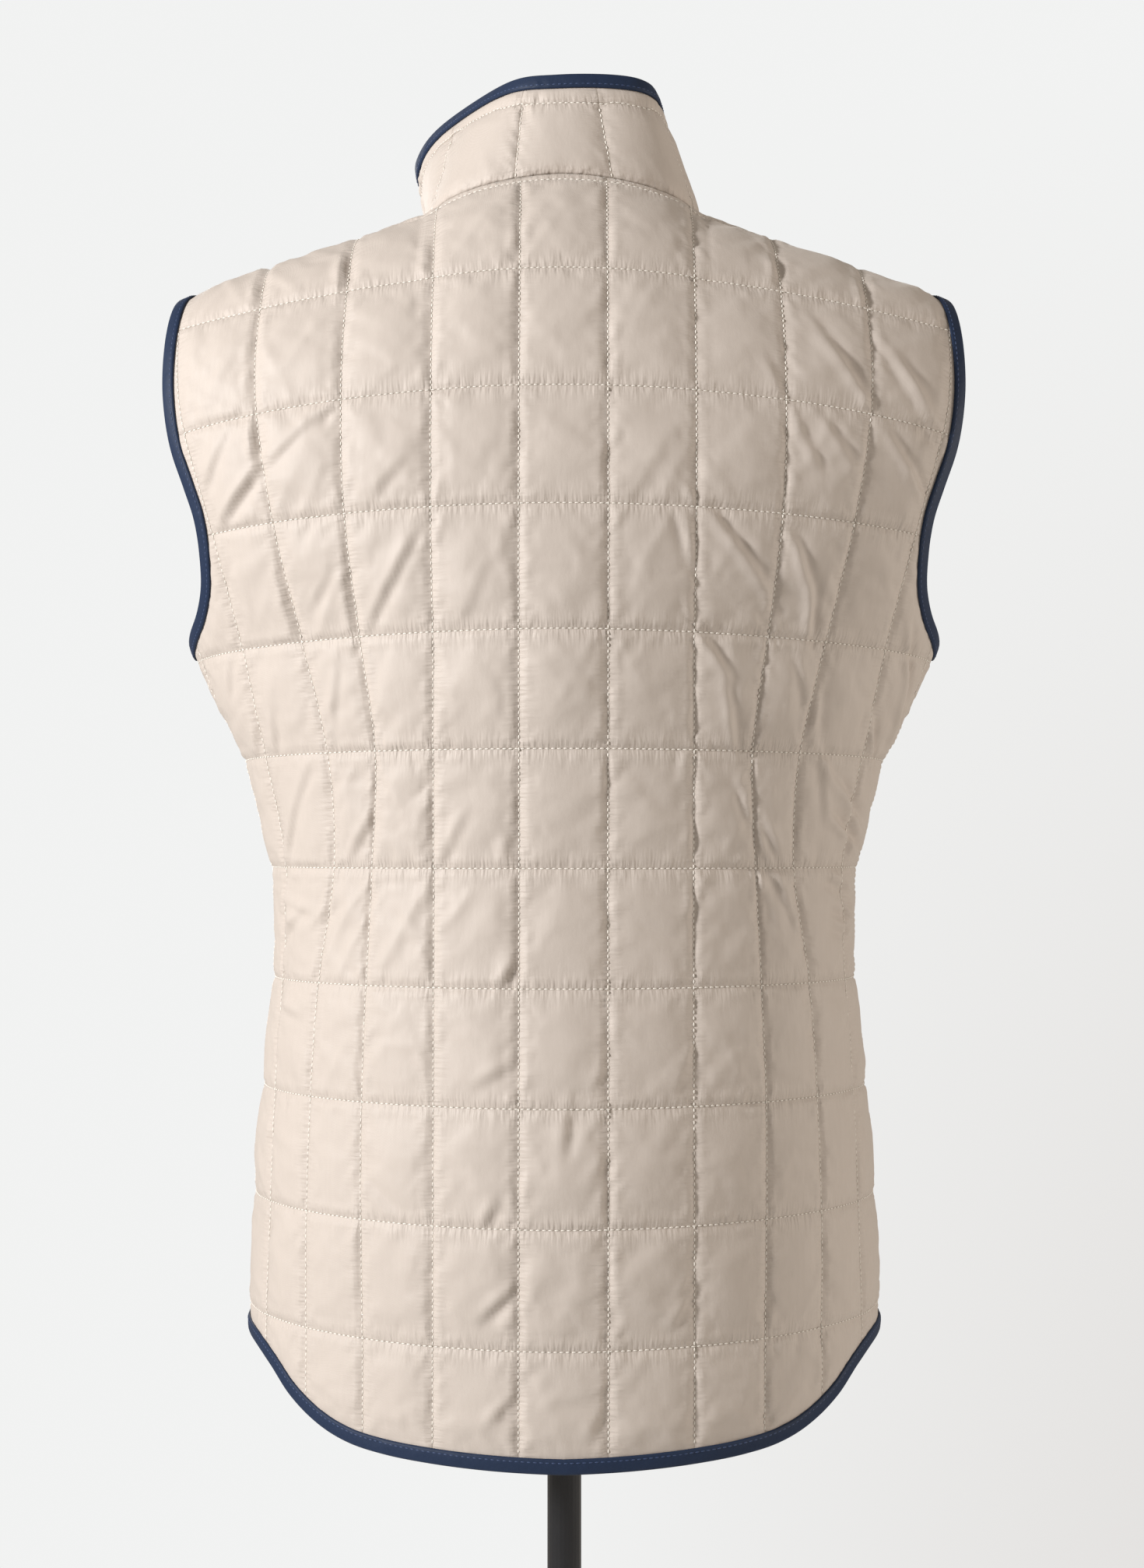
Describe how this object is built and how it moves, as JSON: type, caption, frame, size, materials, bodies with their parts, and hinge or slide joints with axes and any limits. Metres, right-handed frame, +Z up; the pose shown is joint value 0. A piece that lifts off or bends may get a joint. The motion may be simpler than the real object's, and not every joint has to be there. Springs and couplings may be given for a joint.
{
  "type": "quilted vest on a limbless dress form",
  "caption": "Sleeveless box-quilted vest with a stand collar and dark bound edges, worn by a limbless dress form on a pole with a round base.",
  "frame": {"origin": "centre of the round base's underside, under the pole", "axes": "+Z up, -Y towards the vest's front, +X towards the wearer's left"},
  "size_m": [0.428, 0.36, 1.4291],
  "materials": {
    "cloth": "beige smooth polyester with a soft satin sheen",
    "navy_binding": "navy satin bias binding",
    "zip_tape": "dark woven zip tape with moulded teeth",
    "zip_metal": "dull nickel",
    "form_linen": "ecru jersey stretched over a hard form",
    "black_metal": "satin black"
  },
  "bodies": {
    "stand": {"back": "cloth", "front_left": "cloth", "front_right": "cloth", "collar": "cloth", "binding_armhole_left": "navy_binding", "binding_armhole_right": "navy_binding", "binding_collar": "navy_binding", "binding_hem_back": "navy_binding", "binding_hem_front_left": "navy_binding", "binding_hem_front_right": "navy_binding", "zip_left": "zip_tape", "zip_right": "zip_tape", "zip_collar_left": "zip_tape", "zip_collar_right": "zip_tape", "zip_slider": "zip_metal", "form_torso": "form_linen", "pole": "black_metal", "base_plate": "black_metal", "form_flange": "black_metal"},
    "zip_pull": {"zip_puller": "zip_metal"}
  },
  "joints": [
    {"name": "pull_tab_swing", "type": "hinge", "parent": "stand", "child": "zip_pull", "pos_m": [0, -0.12713, 1.21925], "axis": [-1, 0, 0], "range_deg": [0, 135]}
  ]
}
